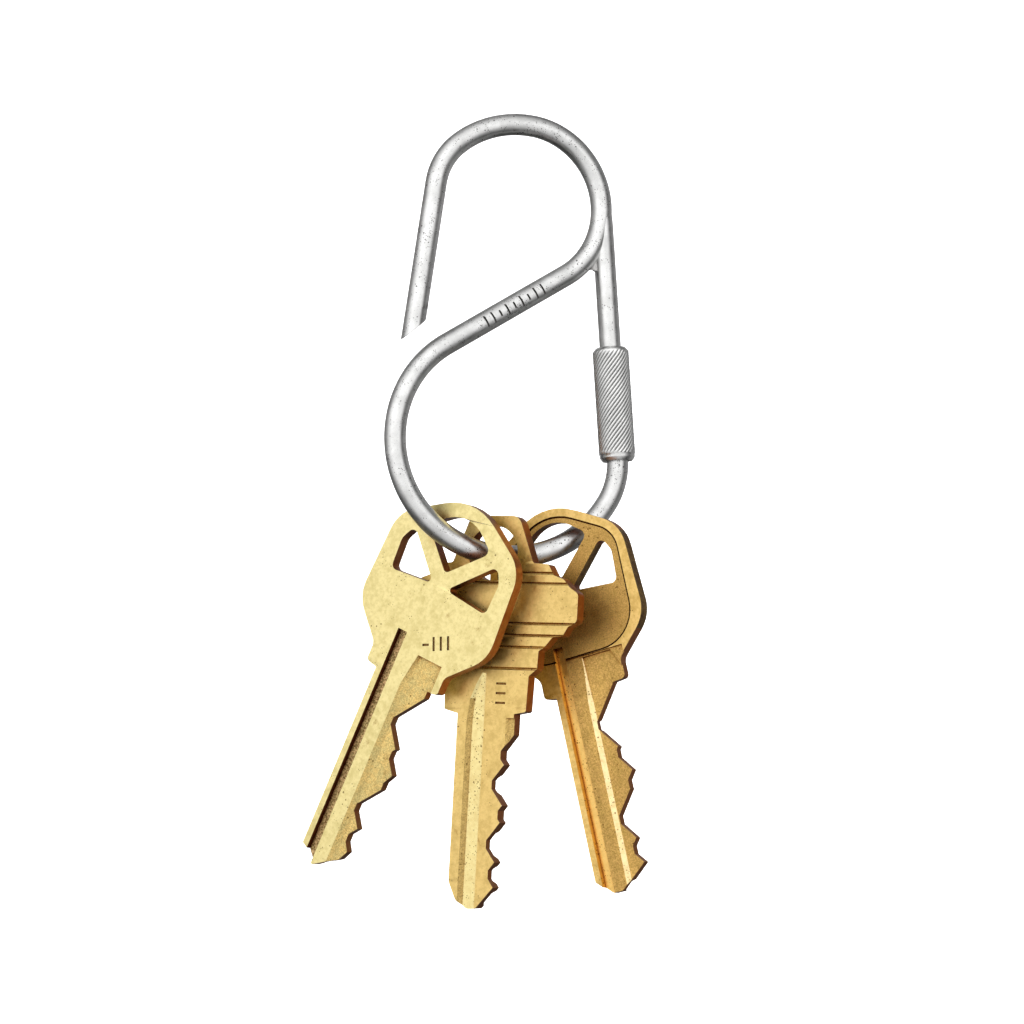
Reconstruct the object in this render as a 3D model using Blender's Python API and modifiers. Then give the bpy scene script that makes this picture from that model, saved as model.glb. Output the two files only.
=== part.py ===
"""Bent-wire carabiner keyring with a screw sleeve gate and three brass keys.

The wire lies in the XZ plane and hangs from the inside of its hook's crown, which is the
origin. +Z is up, +X points to the gate, -Y is the front. Lengths are metres.
"""

import math

import bmesh
import bpy
from mathutils import Euler, Matrix, Vector

MM = 0.001
FULL_TURN = 2 * math.pi
UP = Vector((0, 0, 1))
FRONT = Vector((0, -1, 0))
SMOOTH_LIMIT = math.radians(35)

# Wire: one length of round stock, bent in one plane.
WIRE_RADIUS = 1.5 * MM
BEND_STEP = math.radians(5)
CROWN_RADIUS = 14.8 * MM
CROWN_TURN_LEFT = math.radians(39.8)
CROWN_TURN_RIGHT = math.radians(5.6)
SHOULDER_RADIUS = 9.3 * MM
SHOULDER_TURN = math.radians(41.4)
LEG_LENGTH = 20.9 * MM
SIDE_RADIUS = 11.2 * MM
SIDE_TURN = math.radians(142.8)
LOWER_BENDS = (
    (15.4 * MM, math.radians(119.7)),
    (17.1 * MM, math.radians(86.6)),
    (10.3 * MM, math.radians(35.8)),
)
TIP_CUT_ANGLE = math.radians(40)
CAP_FLATNESS = 0.001 * MM

# Gate line: the straight post, and the stud that ends the wire, share one axis. Distances
# along it are counted down from the point where the post meets the side bend tangentially.
POST_LEAN = math.radians(3.7)
POST_START = 3.6 * MM
SLEEVE_TOP = 20.1 * MM
SLEEVE_LENGTH = 15.8 * MM
SLEEVE_BOTTOM = SLEEVE_TOP + SLEEVE_LENGTH
SLEEVE_TRAVEL = 6 * MM
THREAD_RADIUS = 1.35 * MM
THREAD_ENGAGEMENT = 3 * MM
STUD_END = SLEEVE_BOTTOM - THREAD_ENGAGEMENT
POST_END = SLEEVE_BOTTOM - SLEEVE_TRAVEL
POST_THREAD_START = SLEEVE_TOP + 0.3 * MM
THREAD_RUN_OUT = 0.1 * MM
END_CHAMFER = 0.3 * MM
WELD_GAP = 0.3 * MM

# Sleeve: a knurled shell round its threaded core.
SHELL_RADIUS = 2.52 * MM
SHELL_TOP_CHAMFER = 0.55 * MM
SHELL_BOTTOM_CHAMFER = 0.4 * MM
SHELL_BORE = 1.65 * MM
CORE_POCKET = 2.05 * MM
CORE_RADIUS = 1.95 * MM
CORE_BORE = 1.45 * MM
CORE_LENGTH = 8.8 * MM
CORE_RECESS = 0.4 * MM
POCKET_DEPTH = 9.4 * MM
BORE_CHAMFER = 0.2 * MM
TURNED_STEPS = 48

# Weld fillet: a small web in the crotch between the side bend and the post.
FILLET_TOP = 9.1 * MM
FILLET_BOTTOM = 9.9 * MM
FILLET_HALF_DEPTH = 0.9 * MM
FILLET_STEPS = 4

# Keys: flat brass plates in parallel upright planes, turned from the wire's plane.
KEY_THICKNESS = 1.9 * MM
KEY_PLANE_TURN = math.radians(48)
CORNER_STEP = math.radians(15)
CUT_SLOPE = 0.78
CUT_FLAT = 1.1
SURFACE_SPARE = 0.5 * MM

# Key outlines are drawn in millimetres: across the bow to the right, then down the blade.
# A third number rounds the corner. Halves are mirrored about the key's own axis.
CLOVER_HALF = (
    (0, -13.7, 8),
    (10.4, -7.5, 5),
    (11.1, 5.3, 5),
    (6.1, 10.2, 1.5),
    (6.1, 12.8, 0.6),
)
CLOVER_SHOULDER = 12.8
SHOULDER_DRAFT_RIGHT = 0.15
SHOULDER_DRAFT_LEFT = 0.3
CLOVER_BLADE = (-4.3, 4.25)
KITE_HALF = ((0, -11.8, 5), (5.3, -7.7, 0.9), (0, -2.6, 0.6))
SIDE_HOLE = ((1.1, -0.6, 0.5), (7.1, -6.6, 0.8), (8.3, -4.4, 2), (8.1, 0.05, 0.8))

STEPPED_AXIS = -1.4
STEPPED_HALF = (
    (3.7, -11.3, 1.6),
    (6.2, -4.9, 0.5),
    (8.5, -4.8, 0.5),
    (9.4, -3.3, 0.4),
    (10.9, -2.8, 0.4),
    (11.9, -1.7, 0.4),
    (13.2, -0.9, 0.8),
    (13.2, 2.9, 0.8),
    (11.9, 3.6, 0.3),
    (11.2, 4.8, 0.3),
    (9.7, 5.0, 0.3),
    (8.6, 6.3, 0.3),
    (7.7, 6.9, 0.3),
    (7.6, 9.3, 0.4),
    (6.4, 10.3, 0.4),
    (6.25, 15.1, 0.3),
)
STEPPED_SHOULDER = 15.3
STEPPED_BLADE = (-5.55, 3.1)
ROUND_HOLE_CENTRE = (-1.4, -6.2)
ROUND_HOLE_RADIUS = 3.75

# Milled channels: section corners across the blade and into the face, then where they start.
CLOVER_MILLING = {
    "front": (
        (((-3.4, 0), (-3.4, 0.85), (-1.9, 0.85), (-1.9, 0)), 6.9),
        (((0.2, 0), (1.1, 0.55), (5.1, 0.55), (5.1, 0)), 9.0),
    ),
    "back": (
        (((-0.9, 0), (-0.6, 0.8), (0.5, 0.8), (0.8, 0)), 8.0),
        (((-8, 0), (-8, 0.35), (-3.6, 0.35), (-3.2, 0)), 14.0),
    ),
}
STEPPED_MILLING = {
    "front": (
        (((-4.1, 0), (-3.5, 0.6), (-1.5, 0.6), (-1.4, 0)), 11.0),
        (((1.9, 0), (2.3, 0.3), (8, 0.3), (8, 0)), 16.0),
    ),
    "back": (
        (((-0.9, 0), (-0.6, 0.7), (0.6, 0.7), (0.9, 0)), 11.0),
        (((-9, 0), (-9, 0.35), (-4.6, 0.35), (-4.3, 0)), 16.0),
    ),
}
MILLING_END = 46

# Each key: where the wire's axis crosses it, its swing in its plane, and its cuts.
KEYS = (
    {
        "name": "front_key",
        "style": "clover",
        "wire_heading": math.radians(-23.3),
        "grip": (0.05, -7.0),
        "fan": math.radians(25.9),
        "first_cut": 18.75,
        "pitch": 4.3,
        "roots": (1.0, 2.8, 3.5, 0.95, 1.55),
        "tip": ((2.4, 37.7, 0), (1.7, 39.1, 0), (-1.7, 41.5, 0), (-3.4, 39.8, 0.5), (-4.3, 39.4, 0)),
    },
    {
        "name": "middle_key",
        "style": "stepped",
        "wire_heading": math.radians(-5.2),
        "grip": (-1.24, -5.97),
        "fan": math.radians(3.5),
        "first_cut": 21.0,
        "pitch": 4.0,
        "roots": (1.38, 0.28, 1.42, -0.1, 0.42),
        "tip": (
            (1.27, 38.7, 0),
            (-0.2, 40.4, 0),
            (-1.2, 41.6, 0.5),
            (-2.9, 41.8, 1.0),
            (-4.4, 40.6, 1.5),
            (-5.55, 38.2, 1.0),
        ),
    },
    {
        "name": "rear_key",
        "style": "clover",
        "wire_heading": math.radians(23.7),
        "grip": (-0.15, -7.2),
        "fan": math.radians(-13.2),
        "first_cut": 18.1,
        "pitch": 4.35,
        "roots": (0.65, 2.6, 3.3, 0.9, 1.95),
        "tip": ((3.1, 37.4, 0), (-0.7, 40.4, 0.4), (-2.3, 40.4, 0.4), (-4.3, 38.5, 0.3)),
    },
)

STEEL = {"colour": (0.72, 0.72, 0.71, 1), "roughness": 0.38, "metallic": 1.0}
PALE_BRASS = {"colour": (0.80, 0.66, 0.33, 1), "roughness": 0.36, "metallic": 1.0}
GOLD_BRASS = {"colour": (0.66, 0.46, 0.18, 1), "roughness": 0.40, "metallic": 1.0}
BRASS_FINISH = {"front_key": PALE_BRASS, "middle_key": GOLD_BRASS, "rear_key": GOLD_BRASS}


def clear_scene():
    for obj in list(bpy.data.objects):
        bpy.data.objects.remove(obj, do_unlink=True)


def new_collection(name):
    collection = bpy.data.collections.new(name)
    bpy.context.scene.collection.children.link(collection)
    return collection


def make_material(name, finish):
    material = bpy.data.materials.new(name)
    material.use_nodes = True
    shader = material.node_tree.nodes["Principled BSDF"]
    shader.inputs["Base Color"].default_value = finish["colour"]
    shader.inputs["Roughness"].default_value = finish["roughness"]
    shader.inputs["Metallic"].default_value = finish["metallic"]
    return material


class Bender:
    """Traces a wire's centreline in the XZ plane, bend after bend."""

    def __init__(self, start, heading):
        self.points = [Vector(start)]
        self.heading = heading

    def direction(self):
        return Vector((math.cos(self.heading), 0, math.sin(self.heading)))

    def line(self, length):
        self.points.append(self.points[-1] + length * self.direction())

    def arc(self, radius, turn):
        """Bend by turn, to the left when it is positive."""
        side = math.copysign(radius, turn)
        centre = self.points[-1] + side * FRONT.cross(self.direction())
        steps = max(1, math.ceil(abs(turn) / BEND_STEP))
        for step in range(1, steps + 1):
            angle = self.heading + turn * step / steps
            self.points.append(centre + side * Vector((math.sin(angle), 0, -math.cos(angle))))
        self.heading += turn


def crown_bender(heading=0.0):
    return Bender((0, 0, WIRE_RADIUS), heading)


def gate_line():
    """The point where the post meets the side bend, and the way down the post."""
    bender = crown_bender()
    bender.arc(CROWN_RADIUS, -CROWN_TURN_RIGHT)
    bender.arc(SIDE_RADIUS, -(math.pi / 2 - POST_LEAN - CROWN_TURN_RIGHT))
    return bender.points[-1], bender.direction()


def bend_loop(diagonal):
    """The wire from the crown round the side bend, the diagonal and the key loop."""
    bender = crown_bender()
    bender.arc(CROWN_RADIUS, -CROWN_TURN_RIGHT)
    bender.arc(SIDE_RADIUS, -SIDE_TURN)
    bender.line(diagonal)
    for radius, turn in LOWER_BENDS:
        bender.arc(radius, turn)
    return bender


def diagonal_length():
    """The straight between the loops that brings the wire's end onto the gate line."""
    corner, down = gate_line()
    across = down.cross(FRONT)
    start_error = (bend_loop(0.0).points[-1] - corner).dot(across)
    unit_error = (bend_loop(1.0).points[-1] - corner).dot(across)
    return start_error / (start_error - unit_error)


def loop_point(heading):
    """The point of the key loop where the wire runs in the given direction."""
    bender = crown_bender()
    bender.arc(CROWN_RADIUS, -CROWN_TURN_RIGHT)
    bender.arc(SIDE_RADIUS, -SIDE_TURN)
    bender.line(diagonal_length())
    for radius, turn in LOWER_BENDS:
        left = heading - bender.heading
        bender.arc(radius, min(turn, left))
        if left <= turn:
            break
    return bender.points[-1]


def on_gate_line(distance):
    corner, down = gate_line()
    return corner + distance * down


def gate_rotation():
    return UP.rotation_difference(-gate_line()[1]).to_matrix().to_4x4()


def tube_mesh(name, points, radii):
    """A round tube through points, as a welded mesh object that isn't in a collection."""
    curve = bpy.data.curves.new(name, "CURVE")
    curve.dimensions = "3D"
    curve.bevel_depth = WIRE_RADIUS
    curve.bevel_resolution = 4
    curve.use_fill_caps = True
    spline = curve.splines.new("POLY")
    spline.points.add(len(points) - 1)
    for spline_point, point, radius in zip(spline.points, points, radii):
        spline_point.co = (*point, 1)
        spline_point.radius = radius / WIRE_RADIUS
    return curve_to_mesh(name, curve)


def curve_to_mesh(name, curve):
    """Turn a curve into a mesh object with its caps welded."""
    carrier = bpy.data.objects.new(name + "_curve", curve)
    bpy.context.scene.collection.objects.link(carrier)
    bpy.context.view_layer.update()
    evaluated = carrier.evaluated_get(bpy.context.evaluated_depsgraph_get())
    mesh = bpy.data.meshes.new_from_object(evaluated)
    bpy.data.objects.remove(carrier, do_unlink=True)
    shell = bmesh.new()
    shell.from_mesh(mesh)
    bmesh.ops.remove_doubles(shell, verts=shell.verts, dist=0.001 * MM)
    bmesh.ops.recalc_face_normals(shell, faces=shell.faces)
    shell.to_mesh(mesh)
    shell.free()
    mesh.name = name
    return bpy.data.objects.new(name, mesh)


def as_cutter(obj, cutters):
    cutters.objects.link(obj)
    obj.hide_render = True
    obj.display_type = "WIRE"
    return obj


def cut(obj, cutter):
    modifier = obj.modifiers.new(cutter.name, "BOOLEAN")
    modifier.operation = "DIFFERENCE"
    modifier.object = cutter
    return modifier


def finish_part(obj, parts, material, smooth=True):
    parts.objects.link(obj)
    obj.data.materials.append(material)
    if smooth:
        obj.data.shade_smooth()
        obj.data.set_sharp_from_angle(angle=SMOOTH_LIMIT)
    return obj


def turned_object(name, profile, steps=TURNED_STEPS):
    """A turned piece from (radius, height) corners that run down its outer side."""
    mesh = bpy.data.meshes.new(name)
    shape = bmesh.new()
    vertices = [shape.verts.new((radius, 0, height)) for radius, height in profile]
    for first, second in zip(vertices, vertices[1:]):
        shape.edges.new((first, second))
    if profile[0][0] > 0:
        shape.edges.new((vertices[-1], vertices[0]))
    shape.to_mesh(mesh)
    shape.free()
    obj = bpy.data.objects.new(name, mesh)
    screw = obj.modifiers.new("turn", "SCREW")
    screw.angle = FULL_TURN
    screw.steps = steps
    screw.render_steps = steps
    screw.use_merge_vertices = True
    screw.merge_threshold = 0.001 * MM
    screw.use_smooth_shade = True
    return obj


def rounded(corners):
    """Outline points in millimetres from (across, down, radius) corners."""
    outline = []
    count = len(corners)
    for index, (across, down, radius) in enumerate(corners):
        here = Vector((across, down))
        if radius == 0:
            outline.append(here)
            continue
        back = (Vector(corners[index - 1][:2]) - here).normalized()
        ahead = (Vector(corners[(index + 1) % count][:2]) - here).normalized()
        half = back.angle(ahead) / 2
        reach = radius / math.tan(half)
        centre = here + (back + ahead).normalized() * radius / math.sin(half)
        start = here + back * reach - centre
        sweep = start.angle_signed(here + ahead * reach - centre)
        steps = max(1, math.ceil(abs(sweep) / CORNER_STEP))
        for step in range(steps + 1):
            turned = start.copy()
            turned.rotate(Matrix.Rotation(-sweep * step / steps, 2))
            outline.append(centre + turned)
    return outline


def plate_mesh(name, loops, thickness, grip=(0, 0)):
    """A flat plate in the XZ plane from closed outlines in millimetres, centred on grip."""
    curve = bpy.data.curves.new(name, "CURVE")
    curve.dimensions = "2D"
    curve.fill_mode = "BOTH"
    curve.extrude = thickness / 2
    for loop in loops:
        spline = curve.splines.new("POLY")
        spline.points.add(len(loop) - 1)
        spline.use_cyclic_u = True
        for spline_point, (across, down) in zip(spline.points, loop):
            spline_point.co = ((across - grip[0]) * MM, (grip[1] - down) * MM, 0, 1)
    obj = curve_to_mesh(name, curve)
    obj.data.transform(Matrix.Rotation(math.pi / 2, 4, "X"))
    return obj


def mirrored(half, axis=0.0):
    """A closed list of corners from the right half of a symmetric one, about its axis."""
    right = [(axis + across, down, radius) for across, down, radius in half]
    left = [(axis - across, down, radius) for across, down, radius in reversed(half) if across]
    return right, left


def bitting(first, pitch, roots, edge):
    """The cuts along a blade's upper edge, from the shoulder to the last root."""
    half_flat = CUT_FLAT / 2
    outline = [(edge, first - half_flat - (edge - roots[0]) / CUT_SLOPE, 0)]
    for index, root in enumerate(roots):
        centre = first + index * pitch
        outline.append((root, centre - half_flat, 0))
        outline.append((root, centre + half_flat, 0))
        if index + 1 == len(roots):
            break
        room = pitch - CUT_FLAT
        climb = (room + (roots[index + 1] - root) / CUT_SLOPE) / 2
        if 0 < climb < room:
            peak = min(root + climb * CUT_SLOPE, edge)
            outline.append((peak, centre + half_flat + (peak - root) / CUT_SLOPE, 0))
    return outline


def key_loops(key):
    """The outline and the holes of a key, in millimetres."""
    if key["style"] == "clover":
        right, left = mirrored(CLOVER_HALF)
        shoulder, blade = CLOVER_SHOULDER, CLOVER_BLADE
        kite_right, kite_left = mirrored(KITE_HALF)
        side_right, side_left = mirrored(SIDE_HOLE)
        holes = [rounded(kite_right + kite_left), rounded(side_right), rounded(side_left)]
    else:
        right, left = mirrored(STEPPED_HALF, STEPPED_AXIS)
        shoulder, blade = STEPPED_SHOULDER, STEPPED_BLADE
        centre = Vector(ROUND_HOLE_CENTRE)
        steps = TURNED_STEPS // 2
        spokes = [FULL_TURN * step / steps for step in range(steps)]
        holes = [[centre + ROUND_HOLE_RADIUS * Vector((math.cos(a), math.sin(a))) for a in spokes]]
    edge_start = [(blade[1], shoulder + SHOULDER_DRAFT_RIGHT, 0)]
    cuts = bitting(key["first_cut"], key["pitch"], key["roots"], blade[1])
    edge_end = [(blade[0], shoulder + SHOULDER_DRAFT_LEFT, 0)]
    corners = right + edge_start + cuts + list(key["tip"]) + edge_end + left
    return [rounded(corners)] + holes


def milling_cutter(name, section, start, face, grip):
    """A channel cutter along the blade, let into the front (-1) or the back (+1) face."""
    surface = face * KEY_THICKNESS / 2
    corners = [(across - grip[0], depth) for across, depth in section]
    corners = [(corners[0][0], -SURFACE_SPARE / MM)] + corners + [(corners[-1][0], -SURFACE_SPARE / MM)]
    cutter = plate_mesh(name, [corners], (MILLING_END - start) * MM)
    to_blade = Matrix.Rotation(math.pi / 2, 4, "X")
    if face > 0:
        to_blade = Matrix.Scale(-1, 4, (0, 1, 0)) @ to_blade
    middle = Vector((0, surface, (grip[1] - (start + MILLING_END) / 2) * MM))
    cutter.data.transform(Matrix.Translation(middle) @ to_blade)
    if face > 0:
        cutter.data.flip_normals()
    return cutter


def build_key(key, parts, cutters):
    """A key with its origin where the wire's axis crosses it, hanging in its own plane."""
    name, grip = key["name"], key["grip"]
    place = Matrix.Translation(loop_point(key["wire_heading"]))
    place = place @ Euler((0, key["fan"], -KEY_PLANE_TURN)).to_matrix().to_4x4()
    plate = plate_mesh(name, key_loops(key), KEY_THICKNESS, grip)
    milling = CLOVER_MILLING if key["style"] == "clover" else STEPPED_MILLING
    for side, face in (("front", -1), ("back", 1)):
        for number, (section, start) in enumerate(milling[side]):
            label = f"{name}_{side}_channel_{number}"
            cutter = as_cutter(milling_cutter(label, section, start, face, grip), cutters)
            cutter.matrix_world = place
            cut(plate, cutter)
    plate.matrix_world = place
    return finish_part(plate, parts, make_material(name + "_brass", BRASS_FINISH[name]), smooth=False)


def slant_end(mesh, tip, along):
    """Shear a square tube end onto a slanted plane, as a side cutter leaves it."""
    normal = Vector((math.sin(TIP_CUT_ANGLE), 0, -math.cos(TIP_CUT_ANGLE)))
    for vertex in mesh.vertices:
        offset = vertex.co - tip
        if offset.length < 2 * WIRE_RADIUS and abs(offset.dot(along)) < CAP_FLATNESS:
            vertex.co -= along * (offset.dot(normal) / along.dot(normal))


def build_wire(parts):
    """The hook, the diagonal and the key loop: one bent wire with a threaded end."""
    hook = crown_bender(math.pi)
    hook.arc(CROWN_RADIUS, CROWN_TURN_LEFT)
    hook.arc(SHOULDER_RADIUS, SHOULDER_TURN)
    hook.line(LEG_LENGTH)
    loop = bend_loop(diagonal_length())
    points = list(reversed(hook.points)) + loop.points[1:]
    radii = [WIRE_RADIUS] * len(points)
    stud = (
        (SLEEVE_BOTTOM, WIRE_RADIUS),
        (SLEEVE_BOTTOM - THREAD_RUN_OUT, THREAD_RADIUS),
        (STUD_END + END_CHAMFER, THREAD_RADIUS),
        (STUD_END, THREAD_RADIUS - END_CHAMFER),
    )
    for distance, radius in stud:
        points.append(on_gate_line(distance))
        radii.append(radius)
    wire = tube_mesh("bent_wire", points, radii)
    slant_end(wire.data, hook.points[-1], hook.direction())
    return finish_part(wire, parts, make_material("wire_steel", STEEL))


def build_post(parts, cutters):
    """The straight gate post, its upper end mitred to lie against the side bend."""
    length = POST_END - POST_START
    thread_top = POST_END - POST_THREAD_START
    profile = (
        (0, length),
        (WIRE_RADIUS, length),
        (WIRE_RADIUS, thread_top + THREAD_RUN_OUT),
        (THREAD_RADIUS, thread_top),
        (THREAD_RADIUS, END_CHAMFER),
        (THREAD_RADIUS - END_CHAMFER, 0),
        (0, 0),
    )
    post = turned_object("gate_post", profile, TURNED_STEPS // 2)
    post.matrix_world = Matrix.Translation(on_gate_line(POST_END)) @ gate_rotation()
    side = crown_bender()
    side.arc(CROWN_RADIUS, -CROWN_TURN_RIGHT)
    side.arc(SIDE_RADIUS, -SIDE_TURN)
    radii = [WIRE_RADIUS + WELD_GAP] * len(side.points)
    cut(post, as_cutter(tube_mesh("post_mitre_cutter", side.points, radii), cutters))
    return finish_part(post, parts, make_material("post_steel", STEEL))


def build_fillet(parts):
    """The weld metal in the crotch, between the side bend and the post."""
    corner, down = gate_line()
    inward = down.cross(FRONT)
    clear = WIRE_RADIUS + WELD_GAP
    centre = corner + SIDE_RADIUS * inward
    outline = []
    for step in range(FILLET_STEPS + 1):
        drop = FILLET_TOP + (FILLET_BOTTOM - FILLET_TOP) * step / FILLET_STEPS
        outline.append(corner + drop * down + clear * inward)
    for step in range(FILLET_STEPS, -1, -1):
        drop = FILLET_TOP + (FILLET_BOTTOM - FILLET_TOP) * step / FILLET_STEPS
        across = math.sqrt((SIDE_RADIUS + clear) ** 2 - drop**2)
        outline.append(centre + drop * down - across * inward)
    loop = [(point.x / MM, -point.z / MM) for point in outline]
    fillet = plate_mesh("weld_fillet", [loop], 2 * FILLET_HALF_DEPTH)
    return finish_part(fillet, parts, make_material("weld_steel", STEEL), smooth=False)


def build_sleeve(parts):
    """The threaded core and the knurled shell, on the gate line at the closed place."""
    foot = Matrix.Translation(on_gate_line(SLEEVE_BOTTOM)) @ gate_rotation()
    core_top = CORE_RECESS + CORE_LENGTH
    core = turned_object(
        "sleeve_threaded_core",
        (
            (CORE_RADIUS, core_top),
            (CORE_RADIUS, CORE_RECESS),
            (CORE_BORE, CORE_RECESS),
            (CORE_BORE, core_top),
        ),
    )
    core.matrix_world = foot
    finish_part(core, parts, make_material("core_steel", STEEL))
    shell = turned_object(
        "knurled_sleeve",
        (
            (SHELL_RADIUS - SHELL_TOP_CHAMFER, SLEEVE_LENGTH),
            (SHELL_RADIUS, SLEEVE_LENGTH - SHELL_TOP_CHAMFER),
            (SHELL_RADIUS, SHELL_BOTTOM_CHAMFER),
            (SHELL_RADIUS - SHELL_BOTTOM_CHAMFER, 0),
            (CORE_POCKET, 0),
            (CORE_POCKET, POCKET_DEPTH),
            (SHELL_BORE, POCKET_DEPTH),
            (SHELL_BORE, SLEEVE_LENGTH - BORE_CHAMFER),
            (SHELL_BORE + BORE_CHAMFER, SLEEVE_LENGTH),
        ),
    )
    shell.matrix_world = foot
    return finish_part(shell, parts, make_material("sleeve_steel", STEEL))


def main():
    clear_scene()
    parts = new_collection("carabiner_keyring")
    cutters = new_collection("cutters")
    build_wire(parts)
    build_post(parts, cutters)
    build_fillet(parts)
    build_sleeve(parts)
    for key in KEYS:
        build_key(key, parts, cutters)


main()
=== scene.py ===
"""Looks for the carabiner keyring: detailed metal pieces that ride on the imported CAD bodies.

The CAD frame is kept: metres, +Z up, the wire in the XZ plane, -Y the front. The detailed
pieces are modelled in millimetres and brought to metres when they are put in place.
"""

import math

import bmesh
import bpy
from mathutils import Euler, Matrix, Vector


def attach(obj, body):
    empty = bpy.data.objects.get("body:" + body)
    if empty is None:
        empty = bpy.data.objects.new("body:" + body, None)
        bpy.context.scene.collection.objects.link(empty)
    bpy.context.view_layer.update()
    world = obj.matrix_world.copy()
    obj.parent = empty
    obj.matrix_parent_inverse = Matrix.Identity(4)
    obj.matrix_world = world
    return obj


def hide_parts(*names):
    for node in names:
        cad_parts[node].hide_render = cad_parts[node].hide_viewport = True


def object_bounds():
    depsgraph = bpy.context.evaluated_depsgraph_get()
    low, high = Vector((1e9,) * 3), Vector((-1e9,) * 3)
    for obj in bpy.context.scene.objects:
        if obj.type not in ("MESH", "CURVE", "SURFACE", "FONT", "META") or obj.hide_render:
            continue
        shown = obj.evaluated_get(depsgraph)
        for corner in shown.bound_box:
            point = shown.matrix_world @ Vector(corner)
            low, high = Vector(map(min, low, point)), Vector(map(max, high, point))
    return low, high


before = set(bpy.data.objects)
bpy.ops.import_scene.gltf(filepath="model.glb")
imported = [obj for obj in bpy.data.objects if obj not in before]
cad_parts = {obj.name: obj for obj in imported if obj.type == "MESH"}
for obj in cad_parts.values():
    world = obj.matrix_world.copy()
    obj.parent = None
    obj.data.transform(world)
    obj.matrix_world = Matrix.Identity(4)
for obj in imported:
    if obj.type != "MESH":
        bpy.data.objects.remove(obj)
CAD_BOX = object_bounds()

MM = 0.001
FULL_TURN = 2 * math.pi
UP = Vector((0, 0, 1))
FRONT = Vector((0, -1, 0))

# ---------------------------------------------------------------- design numbers, millimetres
WIRE_RADIUS = 1.5
BEND_STEP = math.radians(2)
LINE_STEP = 1.0
WIRE_SIDES = 48
CROWN_RADIUS = 14.8
CROWN_TURN_LEFT = math.radians(39.8)
CROWN_TURN_RIGHT = math.radians(5.6)
SHOULDER_RADIUS = 9.3
SHOULDER_TURN = math.radians(41.4)
LEG_LENGTH = 20.9
SIDE_RADIUS = 11.2
SIDE_TURN = math.radians(142.8)
LOWER_BENDS = (
    (15.4, math.radians(119.7)),
    (17.1, math.radians(86.6)),
    (10.3, math.radians(35.8)),
)
TIP_CUT_ANGLE = math.radians(40)
TIP_ROUNDING = 0.12
TIP_LENGTH = 2.6
TIP_POINTS = 3
TICK_START = 4.6
TICK_PITCH = 1.2
TICK_LENGTHS = (1.6, 1.6, 0.9, 1.6, 0.9, 1.6, 0.9, 1.6, 1.6)
TICK_WIDTH = 0.27
TICK_CUTTER_HEIGHT = 0.5
TICK_CUTTER_CENTRE = 1.42

POST_LEAN = math.radians(3.7)
# Where the post grows out of the side bend: (distance down the post, radius).
POST_BLEND = ((0.4, 1.30), (1.0, 1.42), (2.0, 1.475), (3.2, 1.5))
SLEEVE_TOP = 20.1
SLEEVE_LENGTH = 15.8
SLEEVE_BOTTOM = SLEEVE_TOP + SLEEVE_LENGTH
THREAD_CREST = 1.40
THREAD_ROOT = 1.16
THREAD_PITCH = 0.5
THREAD_RINGS = 8
THREAD_STEEPNESS = 1.5
THREAD_ROOT_SHARE = 0.2
THREAD_TIP_DROP = 0.12
STUD_END = SLEEVE_BOTTOM - 3
POST_END = SLEEVE_BOTTOM - 6
POST_THREAD_START = SLEEVE_TOP + 0.5
END_CHAMFER = 0.3

# The weld between the side bend and the post; its lean is in degrees.
WELD_TOP = 5.2
WELD_BOTTOM = 9.35
WELD_WIRE_END = 9.3
WELD_ROWS = 24
WELD_COLUMNS = 9
WELD_LEAN = 42
WELD_LEAN_GAIN = 26
WELD_SAG_TOP = 0.16
WELD_SAG_BOTTOM = 0.34
WELD_OVERLAP = 0.05
WELD_PULL = 0.45

SHELL_RADIUS = 2.52
SHELL_BORE = 1.65
# The shell's plain ends: (radius, distance from that end of the sleeve).
SHELL_TOP_EDGE = ((1.97, 0), (2.06, 0), (2.40, 0.36))
SHELL_BOTTOM_EDGE = ((2.45, 0.88), (2.45, 0.50), (2.42, 0.42), (2.12, 0.0))
SHELL_MOUTH = 0.2
CORE_POCKET = 2.05
CORE_RADIUS = 1.95
CORE_BORE = 1.45
CORE_LENGTH = 8.8
CORE_RECESS = 0.4
CORE_LAND = 0.2
CORE_MOUTH = 0.25
CORE_THREAD_DEPTH = 0.2
CORE_THREAD_RINGS = 6
POCKET_DEPTH = 9.4
KNURL_STARTS = 26
KNURL_SAMPLES = 8
KNURL_ROWS = 44
KNURL_BOTTOM = 0.95
KNURL_TOP = SLEEVE_LENGTH - 0.62
KNURL_DEPTH = 0.17
KNURL_CUT_SHARE = 0.62
KNURL_CUT_CURVE = 0.9
# How far the knurl turns over the sleeve's length, in points round it.
KNURL_TWIST = 186

KEY_THICKNESS = 1.9
KEY_PLANE_TURN = math.radians(48)
CORNER_STEP = math.radians(9)
RIM_ROUNDING = 0.21
RIM_SEGMENTS = 3
CUT_SLOPE = 0.78
CUT_FLAT = 1.1
CUT_EDGE_START = 0.15
BACK_EDGE_START = 0.3

# Outlines are lists of corners: (across, down, corner radius), here for the right half.
CLOVER_HALF = (
    (0, -13.7, 8),
    (10.4, -7.5, 5),
    (11.1, 5.3, 5),
    (6.1, 10.2, 1.5),
    (6.1, 12.8, 0.6),
)
CLOVER_SHOULDER = 12.8
CLOVER_BLADE = (-4.3, 4.25)
KITE_HALF = ((0, -11.8, 5), (5.3, -7.7, 0.9), (0, -2.6, 0.6))
SIDE_HOLE = ((1.1, -0.6, 0.5), (7.1, -6.6, 0.8), (8.3, -4.4, 2), (8.1, 0.05, 0.8))
FIELD_HALF = ((0, -12.4, 7), (9.4, -6.9, 4.2), (9.4, 8.4, 5.4))
FIELD_INNER_HALF = ((0, -12.1, 6.8), (9.15, -6.78, 4.0), (9.15, 8.15, 5.2))
FIELD_DEPTH = 0.16
FIELD_LINE_DEPTH = 0.36

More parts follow.
